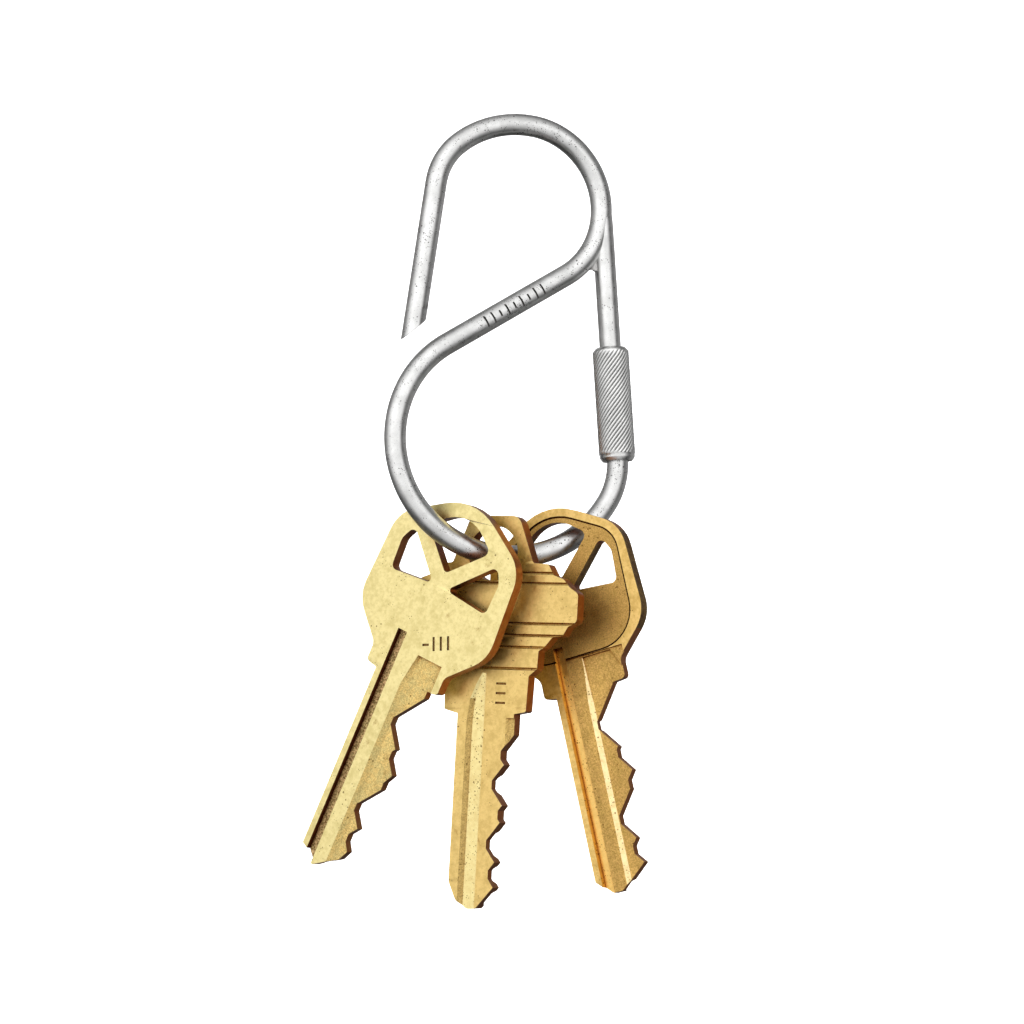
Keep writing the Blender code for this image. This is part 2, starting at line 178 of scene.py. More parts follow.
STEPPED_AXIS = -1.4
STEPPED_HALF = (
    (3.7, -11.3, 1.6),
    (6.2, -4.9, 0.5),
    (8.5, -4.8, 0.5),
    (9.4, -3.3, 0.4),
    (10.9, -2.8, 0.4),
    (11.9, -1.7, 0.4),
    (13.2, -0.9, 0.8),
    (13.2, 2.9, 0.8),
    (11.9, 3.6, 0.3),
    (11.2, 4.8, 0.3),
    (9.7, 5.0, 0.3),
    (8.6, 6.3, 0.3),
    (7.7, 6.9, 0.3),
    (7.6, 9.3, 0.4),
    (6.4, 10.3, 0.4),
    (6.25, 15.1, 0.3),
)
STEPPED_SHOULDER = 15.3
STEPPED_BLADE = (-5.55, 3.1)
ROUND_HOLE = (-1.4, -6.2, 3.75)
ROUND_HOLE_SIDES = 48
RIDGE_LINES = (-3.6, -2.2, 3.2, 4.8, 6.4, 9.3)
RIDGE_SPAN = (-16.0, 14.0)
RIDGE_WIDTH = 0.34
RIDGE_DEPTH = 0.2
RIDGE_OUT = 0.4
MILLING_END = 46
CUTTER_OUT = 0.5
PLATE_CUTTER = 1.0

# Stamped marks on the bows: (across, down, length, width, turn in degrees).
STAMP_DEPTH = 0.14
FRONT_MARKS = (
    (1.5, 7.3, 0.32, 1.0, -25.9),
    (2.6, 6.7, 1.9, 0.34, -25.9),
    (3.6, 6.2, 1.9, 0.34, -25.9),
    (4.6, 5.7, 1.9, 0.34, -25.9),
)
MIDDLE_MARKS = (
    (0.9, 11.4, 0.3, 1.5, 0),
    (0.9, 12.7, 0.3, 1.5, 0),
    (0.9, 14.0, 0.3, 1.5, 0),
)

# Channels: (how far down the blade, section corners across the blade and into the face).
CLOVER_BACK = (
    ((8.0, ((-0.9, 0), (-0.6, 0.8), (0.5, 0.8), (0.8, 0))),),
    ((14.0, ((-8, 0), (-8, 0.35), (-3.6, 0.35), (-3.2, 0))),),
)
CHANNELS = {
    "front_key": {
        "front": (
            ((6.9, ((-3.4, 0), (-3.35, 0.85), (-1.95, 0.85), (-1.9, 0))),),
            (
                (9.0, ((1.05, 0), (1.1, 0.5), (5.1, 0.5), (5.1, 0))),
                (13.5, ((0.2, 0), (1.1, 0.5), (5.1, 0.5), (5.1, 0))),
            ),
        ),
        "back": CLOVER_BACK,
    },
    "rear_key": {
        "front": (
            ((6.4, ((-3.4, 0), (-3.3, 0.8), (-1.95, 0.8), (-1.9, 0))),),
            (
                (8.4, ((-1.92, 0), (-1.92, 0.28), (6.9, 0.28), (6.9, 0))),
                (14.0, ((-1.92, 0), (-1.92, 0.28), (6.9, 0.28), (6.9, 0))),
            ),
            (
                (8.6, ((0.5, 0.2), (0.55, 0.6), (4.9, 0.6), (4.9, 0.2))),
                (15.0, ((-0.1, 0.2), (0.75, 0.6), (8, 0.6), (8, 0.2))),
            ),
        ),
        "back": CLOVER_BACK,
    },
    "middle_key": {
        "front": (
            (
                (10.0, ((-2.1, -0.05), (-2.0, 0.02), (-1.5, 0.1), (-1.4, 0))),
                (11.5, ((-2.9, -0.02), (-2.5, 0.3), (-1.5, 0.35), (-1.4, 0))),
                (13.5, ((-3.7, 0), (-3.2, 0.5), (-1.5, 0.5), (-1.4, 0))),
                (16.5, ((-4.1, 0), (-3.5, 0.6), (-1.5, 0.6), (-1.4, 0))),
            ),
            ((16.0, ((1.9, 0), (2.3, 0.3), (8, 0.3), (8, 0))),),
        ),
        "back": (
            ((11.0, ((-0.9, 0), (-0.6, 0.7), (0.6, 0.7), (0.9, 0))),),
            ((16.0, ((-9, 0), (-9, 0.35), (-4.6, 0.35), (-4.3, 0))),),
        ),
    },
}

KEYS = (
    {
        "name": "front_key",
        "style": "clover",
        "wire_heading": math.radians(-23.3),
        "grip": (0.05, -7.0),
        "fan": math.radians(25.9),
        "first_cut": 18.75,
        "pitch": 4.3,
        "roots": (1.0, 2.8, 3.5, 0.95, 1.55),
        "tip": ((2.4, 37.7, 0), (1.7, 39.1, 0), (-1.7, 41.5, 0), (-3.4, 39.8, 0.5), (-4.3, 39.4, 0)),
    },
    {
        "name": "middle_key",
        "style": "stepped",
        "wire_heading": math.radians(-5.2),
        "grip": (-1.24, -5.97),
        "fan": math.radians(3.5),
        "first_cut": 21.0,
        "pitch": 4.0,
        "roots": (1.38, 0.28, 1.42, -0.1, 0.42),
        "tip": (
            (1.27, 38.7, 0),
            (-0.2, 40.4, 0),
            (-1.2, 41.6, 0.5),
            (-2.9, 41.8, 1.0),
            (-4.4, 40.6, 1.5),
            (-5.55, 38.2, 1.0),
        ),
    },
    {
        "name": "rear_key",
        "style": "clover",
        "wire_heading": math.radians(23.7),
        "grip": (-0.15, -7.2),
        "fan": math.radians(-13.2),
        "first_cut": 18.1,
        "pitch": 4.35,
        "roots": (0.65, 2.6, 3.3, 0.9, 1.95),
        "tip": ((3.1, 37.4, 0), (-0.7, 40.4, 0.4), (-2.3, 40.4, 0.4), (-4.3, 38.5, 0.3)),
    },
)


# ---------------------------------------------------------------- materials
# Noise patterns: size in millimetres, detail, roughness, and the levels where the pattern
# starts and is full.
PATTERNS = {
    "steel_mottling": (2.2, 4.0, 0.55, 0.3, 0.7),
    "steel_sheen": (0.6, 3.0, 0.55, 0.25, 0.75),
    "brass_clouds": (1.7, 6.0, 0.66, 0.42, 0.70),
    "brass_fine_clouds": (0.55, 5.0, 0.7, 0.40, 0.68),
    "brass_stains": (1.3, 7.0, 0.65, 0.60, 0.76),
    "brass_grit": (0.2, 4.0, 0.7, 0.36, 0.62),
    "brass_sheen": (0.9, 4.0, 0.55, 0.25, 0.75),
    "paper": (60, 3.0, 0.55, 0.3, 0.7),
}
PIT_TONE = (0.02, 0.019, 0.018, 1)
GROOVE_SHADE_TINT = (0.10, 0.10, 0.10, 1)
WARM_SHADE_TINT = (0.72, 0.47, 0.30, 1)
DEEP_SHADE_TINT = (0.17, 0.06, 0.03, 1)

# Steels: bright and dark tones, share of pits, roughness, shift of the patterns, and how far
# painted shade reaches into the fine cuts, in millimetres.
STEELS = {
    "wire_steel_tumbled": ((0.82, 0.82, 0.81), (0.66, 0.66, 0.65), 0.52, 0.32, (0, 0, 0), 0.0),
    "post_steel_tumbled": ((0.82, 0.82, 0.81), (0.66, 0.66, 0.65), 0.45, 0.32, (11, 3, 5), 0.0),
    "weld_steel_pitted": ((0.62, 0.61, 0.60), (0.40, 0.39, 0.38), 0.62, 0.42, (2, 9, 4), 0.0),
    "sleeve_steel_turned": ((0.88, 0.88, 0.87), (0.74, 0.74, 0.73), 0.35, 0.26, (6, 1, 8), 0.3),
    "engraved_marks_dark": ((0.16, 0.155, 0.15), (0.08, 0.078, 0.075), 0.4, 0.5, (3, 3, 1), 0.0),
    "core_steel_threaded": ((0.62, 0.62, 0.61), (0.46, 0.46, 0.45), 0.35, 0.34, (1, 5, 9), 0.0),
}

# A key's surfaces. One is sunk when it lies deeper than SUNK below the key's flat sides, and
# sloped when more than SLOPED of its normal points to the front or the back.
SUNK = 0.03
SLOPED = 0.3
LOOKS = ("face", "recess", "groove", "rim", "edge", "stamp", "ridge")

# How worn each brass surface is, and the reach of its painted shade in corners; relief and reach are
# millimetres.
WEAR_AND_SHADE = ("mottling", "stains", "spots", "grit", "roughness", "relief", "reach")
BRASS_LOOKS = {
    "face": (0.85, 0.6, 0.42, 0.0, 0.36, 0.005, 1.9),
    "recess": (0.8, 0.7, 0.48, 0.45, 0.42, 0.008, 0.9),
    "groove": (0.6, 0.7, 0.5, 0.95, 0.5, 0.02, 0.35),
    "rim": (0.15, 0.1, 0.15, 0.0, 0.25, 0.003, 2.0),
    "edge": (0.12, 0.3, 0.4, 0.1, 0.40, 0.008, 2.0),
    "stamp": (0.5, 0.8, 0.4, 0.5, 0.5, 0.008, 0.5),
    "ridge": (0.35, 0.45, 0.56, 0.0, 0.32, 0.006, 0.6),
}
BRASS_SHIFTS = {"front_key": (0, 0, 0), "middle_key": (20, 4, 9), "rear_key": (7, 31, 2)}
# The side walls' dark red-brown is partly the brass's own tone and partly painted shade.
SHADED_EDGE_TONE = (0.36, 0.105, 0.018)
# The rims' pale tones are partly polished wear and partly a painted highlight along the bevels.
BRASS_TONES = {
    "front_key": {
        "wear": {"patch": (0.70, 0.58, 0.24), "stain": (0.36, 0.22, 0.06)},
        "face": (0.92, 0.78, 0.37),
        "recess": (0.88, 0.62, 0.22),
        "groove": (0.80, 0.52, 0.26),
        "rim": (0.98, 0.93, 0.70),
        "stamp": (0.25, 0.16, 0.07),
        "ridge": (0.90, 0.78, 0.46),
    },
    "middle_key": {
        "wear": {"patch": (0.62, 0.43, 0.14), "stain": (0.30, 0.14, 0.03)},
        "face": (0.84, 0.60, 0.22),
        "recess": (0.74, 0.52, 0.18),
        "groove": (0.93, 0.78, 0.36),
        "rim": (0.97, 0.86, 0.56),
        "stamp": (0.30, 0.17, 0.06),
        "ridge": (0.90, 0.78, 0.46),
    },
    "rear_key": {
        "wear": {"patch": (0.58, 0.37, 0.10), "stain": (0.28, 0.12, 0.02)},
        "face": (0.84, 0.57, 0.20),
        "recess": (0.70, 0.43, 0.13),
        "groove": (0.86, 0.55, 0.17),
        "rim": (0.97, 0.84, 0.52),
        "stamp": (0.16, 0.08, 0.03),
        "ridge": (0.92, 0.72, 0.38),
    },
}


def add_node(tree, kind, inputs, **settings):
    """A new shader node. inputs gives its sockets values or the outputs of other nodes."""
    node = tree.nodes.new("ShaderNode" + kind)
    for name, value in settings.items():
        setattr(node, name, value)
    for socket, value in inputs.items():
        connect(tree, value, node.inputs[socket])
    return node


def connect(tree, value, socket):
    if isinstance(value, bpy.types.NodeSocket):
        tree.links.new(value, socket)
    else:
        socket.default_value = value


class Metal:
    """One procedural metal, put together a node at a time. Sizes are in millimetres."""

    def __init__(self, name, place=None):
        """place is the pose of the piece's own axes, or None where it has the frame's."""
        self.material = bpy.data.materials.new(name)
        self.material.use_nodes = True
        self.tree = self.material.node_tree
        self.surface = self.tree.nodes["Principled BSDF"]
        coordinate = self.node("TexCoord", {})
        inputs = {"Vector": coordinate.outputs["Object"], "Scale": (MM, MM, MM)}
        if place is not None:
            inputs |= {"Location": place.to_translation(), "Rotation": place.to_euler()}
        self.place = self.node("Mapping", inputs, vector_type="TEXTURE").outputs[0]

    def node(self, kind, inputs, **settings):
        return add_node(self.tree, kind, inputs, **settings)

    def stretched(self, stretch, shift):
        inputs = {"Vector": self.place, "Scale": stretch, "Location": shift}
        return self.node("Mapping", inputs).outputs[0]

    def noise(self, size, detail, stretch=(1, 1, 1), shift=(0, 0, 0), roughness=0.55):
        inputs = {"Scale": 1 / size, "Detail": detail, "Roughness": roughness}
        inputs["Vector"] = self.stretched(stretch, shift)
        return self.node("TexNoise", inputs).outputs["Fac"]

    def pattern(self, name, shift=(0, 0, 0), low=0.0, high=1.0):
        """One of the PATTERNS, as a value from low, outside it, to high."""
        size, detail, roughness, start, full = PATTERNS[name]
        noise = self.noise(size, detail, shift=shift, roughness=roughness)
        return self.range(noise, start, full, low, high)

    def cells(self, size, shift):
        inputs = {"Scale": 1 / size, "Vector": self.stretched((1, 1, 1), shift)}
        return self.node("TexVoronoi", inputs).outputs["Distance"]

    def range(self, source, start, end, low=0.0, high=1.0):
        """The source, brought smoothly from low at start to high at end."""
        inputs = {"Value": source, "From Min": start, "From Max": end, "To Min": low, "To Max": high}
        return self.node("MapRange", inputs, interpolation_type="SMOOTHSTEP").outputs["Result"]

    def maths(self, operation, first, second):
        return self.node("Math", {0: first, 1: second}, operation=operation).outputs[0]

    def mix(self, factor, first, second, blend="MIX"):
        inputs = {"Factor": factor, 6: first, 7: second}
        return self.node("Mix", inputs, data_type="RGBA", blend_type=blend).outputs[2]

    def pits(self, size, radius, amount, shift):
        """Sparse round pits: 1 inside a pit. amount is the share of the surface they favour."""
        dots = self.range(self.cells(size, shift), radius, radius * 1.5, 1.0, 0.0)
        patches = self.range(self.noise(size * 6, 2.0, shift=shift), 1 - amount, 1.08 - amount)
        return self.maths("MULTIPLY", dots, patches)

    def bump(self, height, depth):
        inputs = {"Height": height, "Distance": depth * MM, "Strength": 1.0}
        return self.node("Bump", inputs).outputs[0]

    def painted_shade_share(self, reach, clear, deep):
        """How much painted shade a place gets, from 0, open, to 1: more in a corner or under a
        neighbour.
        """
        occlusion = self.node("AmbientOcclusion", {"Distance": reach * MM}, samples=6)
        return self.range(occlusion.outputs["AO"], clear, deep)

    def finish(self, colour, roughness, normal, metallic=1.0):
        inputs = {"Base Color": colour, "Roughness": roughness, "Normal": normal, "Metallic": metallic}
        for socket, value in inputs.items():
            connect(self.tree, value, self.surface.inputs[socket])
        return self.material


def steel(name):
    """Tumbled stainless steel: soft mottling, fine grain and scattered dark pits."""
    bright, dark, pit_amount, roughness, shift, reach = STEELS[name]
    metal = Metal(name)
    mottled = metal.pattern("steel_mottling", shift)
    grain = metal.noise(0.09, 2.0, shift=shift)
    colour = metal.mix(mottled, (*dark, 1), (*bright, 1))
    worn = metal.range(grain, 0.28, 0.42)
    colour = metal.mix(worn, shade(dark, 0.72), colour)
    small = metal.pits(0.27, 0.17, pit_amount, shift)
    large = metal.pits(0.7, 0.11, pit_amount, (shift[0] + 7, shift[1], shift[2]))
    pitted = metal.maths("MAXIMUM", small, large)
    colour = metal.mix(pitted, colour, PIT_TONE)
    # Painted shade in the fine cuts, such as the knurl's grooves.
    if reach:
        groove_shade = metal.painted_shade_share(reach, 0.80, 0.45)
        colour = metal.mix(groove_shade, colour, GROOVE_SHADE_TINT, blend="MULTIPLY")
    rough = metal.pattern("steel_sheen", shift, roughness - 0.05, roughness + 0.08)
    height = metal.maths("SUBTRACT", grain, metal.maths("MULTIPLY", pitted, 2.0))
    return metal.finish(colour, rough, metal.bump(height, 0.006))


def shade(colour, share):
    """The colour made darker, or lighter, with its alpha."""
    return tuple(min(1.0, share * channel) for channel in colour) + (1,)


def brass(name, look, base, shift, place):
    """Worn brass: soft olive mottling, brown stains, small spots, scratches, painted shade in corners.
    """
    metal = Metal(name, place)
    patch, stain = (*look["patch"], 1), (*look["stain"], 1)
    turned = (shift[2] + 3, shift[0], shift[1])
    clouds = metal.pattern("brass_clouds", shift, high=look["mottling"])
    colour = metal.mix(clouds, shade(base, 1), patch)
    fine = metal.pattern("brass_fine_clouds", shift, high=look["mottling"] * 0.8)
    colour = metal.mix(fine, colour, patch)
    stains = metal.pattern("brass_stains", turned, high=look["stains"])
    colour = metal.mix(stains, colour, stain)
    large = metal.pits(0.75, 0.13, look["spots"], shift)
    small = metal.pits(0.36, 0.16, look["spots"], turned)
    specks = metal.maths("MAXIMUM", large, small)
    colour = metal.mix(metal.maths("MULTIPLY", specks, 0.8), colour, shade(look["stain"], 0.45))
    streaks = metal.noise(0.5, 2.0, stretch=(9, 9, 0.3), shift=shift)
    hairlines = metal.range(streaks, 0.63, 0.70, 0.0, 0.35)
    colour = metal.mix(hairlines, colour, shade(base, 1.12))
    grain = metal.noise(0.13, 3.0, shift=shift)
    if look["grit"]:
        gritty = metal.pattern("brass_grit", shift, high=look["grit"])
        colour = metal.mix(gritty, colour, shade(look["stain"], 0.4))
    # Painted shade: a warm, then a deeper brown darkening in corners, in grooves and under
    # neighbouring keys.
    warm_shade = metal.painted_shade_share(look["reach"], 0.88, 0.55)
    colour = metal.mix(warm_shade, colour, WARM_SHADE_TINT, blend="MULTIPLY")
    deep_shade = metal.painted_shade_share(look["reach"] * 1.3, 0.72, 0.36)
    colour = metal.mix(deep_shade, colour, DEEP_SHADE_TINT, blend="MULTIPLY")
    low, high = look["roughness"] - 0.06, look["roughness"] + 0.08
    rough = metal.pattern("brass_sheen", shift, low, high)
    height = metal.maths("SUBTRACT", grain, metal.maths("MULTIPLY", specks, 1.5))
    height = metal.maths("SUBTRACT", height, metal.maths("MULTIPLY", hairlines, 0.6))
    return metal.finish(colour, rough, metal.bump(height, look["relief"]))


def key_looks(key):
    """The key's metals: its faces, its milled and stamped places, its rims and its edges."""
    name, place = key["name"], key_place(key)
    tones, shift = BRASS_TONES[name], BRASS_SHIFTS[name]
    looks = {}
    for look in LOOKS:
        # The grooves of the middle and rear keys are worn smooth like ridges.
        worn_as = "ridge" if look == "groove" and name != "front_key" else look
        style = dict(zip(WEAR_AND_SHADE, BRASS_LOOKS[worn_as])) | tones["wear"]
        looks[look] = brass(f"{name}_{look}", style, tones.get(look, SHADED_EDGE_TONE), shift, place)
    return looks


# ---------------------------------------------------------------- the wire's line
class Bender:
    """Traces a centreline in the XZ plane, bend after bend, with its direction at each point."""

    def __init__(self, start, heading):
        self.heading = heading
        self.points = [(Vector(start), self.direction())]

    def direction(self):
        return Vector((math.cos(self.heading), 0, math.sin(self.heading)))

    def line(self, length):
        start = self.points[-1][0]
        steps = max(1, math.ceil(abs(length) / LINE_STEP))
        for step in range(1, steps + 1):
            self.points.append((start + length * step / steps * self.direction(), self.direction()))

    def arc(self, radius, turn):
        """Bend by turn, to the left when it is positive."""
        side = math.copysign(radius, turn)
        centre = self.points[-1][0] + side * FRONT.cross(self.direction())
        first = self.heading
        steps = max(1, math.ceil(abs(turn) / BEND_STEP))
        for step in range(1, steps + 1):
            self.heading = first + turn * step / steps
            out = Vector((math.sin(self.heading), 0, -math.cos(self.heading)))
            self.points.append((centre + side * out, self.direction()))


def crown_bender(heading=0.0):
    return Bender((0, 0, WIRE_RADIUS), heading)


def gate_line():
    """The point where the post meets the side bend, and the way down the post."""
    bender = crown_bender()
    bender.arc(CROWN_RADIUS, -CROWN_TURN_RIGHT)
    bender.arc(SIDE_RADIUS, -(math.pi / 2 - POST_LEAN - CROWN_TURN_RIGHT))
    return bender.points[-1]


CORNER, DOWN = gate_line()
INWARD = DOWN.cross(FRONT)
GATE_TURN = UP.rotation_difference(-DOWN).to_matrix().to_4x4()


def bend_side():
    """The wire from the crown to the end of the side bend."""
    bender = crown_bender()
    bender.arc(CROWN_RADIUS, -CROWN_TURN_RIGHT)
    bender.arc(SIDE_RADIUS, -SIDE_TURN)
    return bender


def bend_loop(diagonal):
    """The wire from the crown to the end of the key loop, with a diagonal of that length."""
    bender = bend_side()
    bender.line(diagonal)
    for radius, turn in LOWER_BENDS:
        bender.arc(radius, turn)
    return bender


def diagonal_length():
    """The straight between the loops that brings the wire's end onto the gate line."""
    start_error = (bend_loop(0.0).points[-1][0] - CORNER).dot(INWARD)
    unit_error = (bend_loop(1.0).points[-1][0] - CORNER).dot(INWARD)
    return start_error / (start_error - unit_error)


DIAGONAL = diagonal_length()


def loop_point(heading):
    """The point of the key loop where the wire runs in the given direction."""
    bender = bend_side()
    bender.line(DIAGONAL)
    for radius, turn in LOWER_BENDS:
        left = heading - bender.heading
        bender.arc(radius, min(turn, left))
        if left <= turn:
            break
    return bender.points[-1][0]


def on_gate_line(distance):
    return CORNER + distance * DOWN


# ---------------------------------------------------------------- mesh helpers
def mesh_object(name, shape, *materials):
    """A new object of the shape, which is used up, with its materials."""
    bmesh.ops.recalc_face_normals(shape, faces=shape.faces)
    mesh = bpy.data.meshes.new(name)
    shape.to_mesh(mesh)
    shape.free()
    for material in materials:
        mesh.materials.append(material)
    obj = bpy.data.objects.new(name, mesh)
    bpy.context.scene.collection.objects.link(obj)
    return obj


def join_rows(shape, rows):
    """Quads between each closed row of vertices and the next."""
    for first, second in zip(rows, rows[1:]):
        for index, vertex in enumerate(first):
            after = (index + 1) % len(first)
            shape.faces.new((vertex, first[after], second[after], second[index]))


def skin(rings, closed_ends=True, twist=0):
    """A shape through rings of points; the ends are capped with fans or joined into a loop.

    twist is how many points the first ring is turned by where it meets the last one.
    """
    shape = bmesh.new()
    rows = [[shape.verts.new(point) for point in ring] for ring in rings]
    count = len(rows[0])
    if not closed_ends:
        join_rows(shape, rows + [[rows[0][(index - twist) % count] for index in range(count)]])
        return shape
    join_rows(shape, rows)
    for row in (rows[0], rows[-1]):
        middle = shape.verts.new(sum((vertex.co for vertex in row), Vector()) / count)
        for index in range(count):
            shape.faces.new((row[index], row[(index + 1) % count], middle))
    return shape


def loft(sections):
    """A shape through sections, closed by one face at each end."""
    shape = bmesh.new()
    rows = [[shape.verts.new(point) for point in section] for section in sections]
    join_rows(shape, rows)
    shape.faces.new(rows[0])
    shape.faces.new(rows[-1])
    return shape


def box(place, size):
    """A straight-sided shape of the given size, turned and moved by place."""
    shape = bmesh.new()
    bmesh.ops.create_cube(shape, size=1)
    shape.transform(place @ Matrix.Diagonal((*size, 1)))
    return shape


def circle(centre, along, radius, sides=WIRE_SIDES):
    """Points round a section of wire. radius may be a function of the angle."""
    across = along.cross(FRONT)
    ring = []
    for side in range(sides):
        angle = FULL_TURN * side / sides
        reach = radius(angle) if callable(radius) else radius
        ring.append(centre + reach * (math.cos(angle) * across + math.sin(angle) * FRONT))
    return ring


def thread_reach(distance, fade):
    """The radius of a screw thread as a function of the angle; fade makes its ridges lower."""

    def reach(angle):
        phase = (distance / THREAD_PITCH + angle / FULL_TURN) % 1
        ridge = 1 - abs(2 * phase - 1)
        ridge = min(1, max(0, THREAD_STEEPNESS * ridge - THREAD_ROOT_SHARE))
        return THREAD_ROOT + (THREAD_CREST - THREAD_ROOT) * ridge * fade

    return reach


def thread_rings(start, end):
    """Rings of a threaded end, from start to end along the gate line, with a chamfered tip."""
    step = THREAD_PITCH / THREAD_RINGS
    way = 1 if end > start else -1
    count = int(abs(end - start) / step)
    rings = []
    for index in range(count + 1):
        distance = start + way * index * step
        left = abs(end - distance)
        fade = min(1.0, left / END_CHAMFER)
        rings.append(circle(on_gate_line(distance), way * DOWN, thread_reach(distance, fade)))
    rings.append(circle(on_gate_line(end), way * DOWN, THREAD_ROOT - THREAD_TIP_DROP))
    return rings


def subtract(obj, cutters):
    """Cut the cutters out of obj and remove them."""
    for cutter in cutters:
        modifier = obj.modifiers.new("cut", "BOOLEAN")
        modifier.operation = "DIFFERENCE"
        modifier.solver = "MANIFOLD"
        modifier.object = cutter
    bpy.context.view_layer.update()
    evaluated = obj.evaluated_get(bpy.context.evaluated_depsgraph_get())
    mesh = bpy.data.meshes.new_from_object(evaluated)
    mesh.materials.clear()
    obj.modifiers.clear()
    obj.data = mesh
    for cutter in cutters:
        bpy.data.objects.remove(cutter, do_unlink=True)


def put(obj, body, node, place=None, smooth=35):
    """Bring a finished piece to metres, put it in place, and let it ride and stand for its node."""
    obj.data.transform(Matrix.Scale(MM, 4))
    if place is not None:
        obj.data.transform(place)
    obj.data.shade_smooth()
    obj.data.set_sharp_from_angle(angle=math.radians(smooth))
    weighted = obj.modifiers.new("normals", "WEIGHTED_NORMAL")
    weighted.keep_sharp = True
    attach(obj, body)
    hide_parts(node)


def metres(point):
    return Matrix.Translation(point * MM)


# ---------------------------------------------------------------- wire, post and weld
def tip_rings(point, along):
    """The slanted end of the hook, its rim just broken."""
    normal = Vector((math.sin(TIP_CUT_ANGLE), 0, -math.cos(TIP_CUT_ANGLE)))

    def slanted(radius, back):
        ring = []
        for corner in circle(point, along, radius):
            offset = corner - point
            ring.append(corner - along * (offset.dot(normal) / along.dot(normal) + back))
        return ring

    broken = 0.35 * TIP_ROUNDING
    sections = (
        (WIRE_RADIUS, TIP_LENGTH),
        (WIRE_RADIUS, TIP_ROUNDING),
        (WIRE_RADIUS - broken, broken),
        (WIRE_RADIUS - TIP_ROUNDING, 0),
        (0.5 * WIRE_RADIUS, 0),
    )
    return [slanted(radius, back) for radius, back in sections]


def wire_piece(material, inlay):
    """The hook, the diagonal and the key loop in one wire, with its threaded stud."""
    hook = crown_bender(math.pi)
    hook.arc(CROWN_RADIUS, CROWN_TURN_LEFT)
    hook.arc(SHOULDER_RADIUS, SHOULDER_TURN)
    hook.line(LEG_LENGTH)
    loop = bend_loop(DIAGONAL)
    tip, along = hook.points[-1]
    backward = [(point, -heading) for point, heading in reversed(hook.points[:-TIP_POINTS])]
    rings = [turned_over(ring) for ring in reversed(tip_rings(tip, along))]
    for point, heading in backward + loop.points[1:]:
        rings.append(circle(point, heading, WIRE_RADIUS))
    for distance in (SLEEVE_BOTTOM - 0.05, SLEEVE_BOTTOM):
        rings.append(circle(on_gate_line(distance), -DOWN, WIRE_RADIUS))
    rings += thread_rings(SLEEVE_BOTTOM - 0.15, STUD_END)
    obj = mesh_object("wire_hook_and_loop", skin(rings))
    subtract(obj, tick_cutters())
    obj.data.materials.append(material)
    obj.data.materials.append(inlay)
    start, along = diagonal_start()
    for polygon in obj.data.polygons:
        offset = polygon.center - start
        run = offset.dot(along)
        sunk = (offset - run * along).length < WIRE_RADIUS - 0.05
        polygon.material_index = int(sunk and 1 < run < DIAGONAL)
    put(obj, "ring", "bent_wire")


def diagonal_start():
    """Where the straight between the loops starts, and its direction."""
    return bend_side().points[-1]


def turned_over(ring):
    """The same section counted for the opposite direction of the wire."""
    half = len(ring) // 2
    return [ring[(half - index) % len(ring)] for index in range(len(ring))]


def tick_cutters():
    """A row of plain engraved ticks on the front of the diagonal."""
    start, along = diagonal_start()
    turn = Matrix((along, along.cross(FRONT), FRONT)).transposed().to_4x4()
    cutters = []
    for index, length in enumerate(TICK_LENGTHS):
        centre = start + (TICK_START + TICK_PITCH * index) * along + TICK_CUTTER_CENTRE * FRONT
        shape = box(Matrix.Translation(centre) @ turn, (TICK_WIDTH, length, TICK_CUTTER_HEIGHT))
        cutters.append(mesh_object(f"tick_{index}", shape))
    return cutters


def post_piece(material):
    """The straight gate post: blended into the side bend above, threaded below."""
    rings = [circle(on_gate_line(drop), DOWN, radius) for drop, radius in POST_BLEND]
    start = POST_BLEND[-1][0]
    steps = int((POST_THREAD_START - start) / LINE_STEP)
    for step in range(1, steps + 1):
        drop = start + (POST_THREAD_START - start) * step / steps
        rings.append(circle(on_gate_line(drop), DOWN, WIRE_RADIUS))
    rings += thread_rings(POST_THREAD_START + 0.12, POST_END)
    obj = mesh_object("gate_post_bar", skin(rings), material)
    put(obj, "ring", "gate_post")


def weld_piece(material):
    """Weld metal in the notch between the side bend and the post, down to the crotch."""
    rings = []
    for row in range(WELD_ROWS + 1):
        drop = WELD_TOP + (WELD_BOTTOM - WELD_TOP) * row / WELD_ROWS
        outer = SIDE_RADIUS - math.sqrt((SIDE_RADIUS + WIRE_RADIUS) ** 2 - drop**2)
        reached = min(drop, WELD_WIRE_END)
        inner = SIDE_RADIUS - math.sqrt((SIDE_RADIUS - WIRE_RADIUS) ** 2 - reached**2)
        middle, half_width = (outer + inner) / 2, (inner - outer) / 2
        share = (drop - WELD_TOP) / (WELD_BOTTOM - WELD_TOP)
        lean = math.radians(WELD_LEAN + WELD_LEAN_GAIN * share)
        sag = WELD_SAG_TOP * (1 - share) + WELD_SAG_BOTTOM * share
        post_edge = WIRE_RADIUS * math.sin(lean) - WELD_OVERLAP
        wire_edge = middle - half_width * math.sin(lean) + WELD_OVERLAP
        if wire_edge < post_edge + 2 * WELD_OVERLAP:
            centre = (post_edge + wire_edge) / 2
            post_edge, wire_edge = centre - WELD_OVERLAP, centre + WELD_OVERLAP
        face = WIRE_RADIUS * math.cos(lean)
        ring = []
        for side in (1, -1):
            for column in range(WELD_COLUMNS + 1):
                part = column / WELD_COLUMNS
                if side < 0:
                    part = 1 - part
                across = post_edge + (wire_edge - post_edge) * part
                depth = face - sag * math.sin(math.pi * part)
                pull = WELD_PULL * math.sin(math.pi * part) * share**6
                point = CORNER + (drop - pull) * DOWN + across * INWARD + side * depth * FRONT
                ring.append(point)
        rings.append(ring)
    obj = mesh_object("weld_bead", skin(rings), material)
    put(obj, "ring", "weld_fillet", smooth=60)


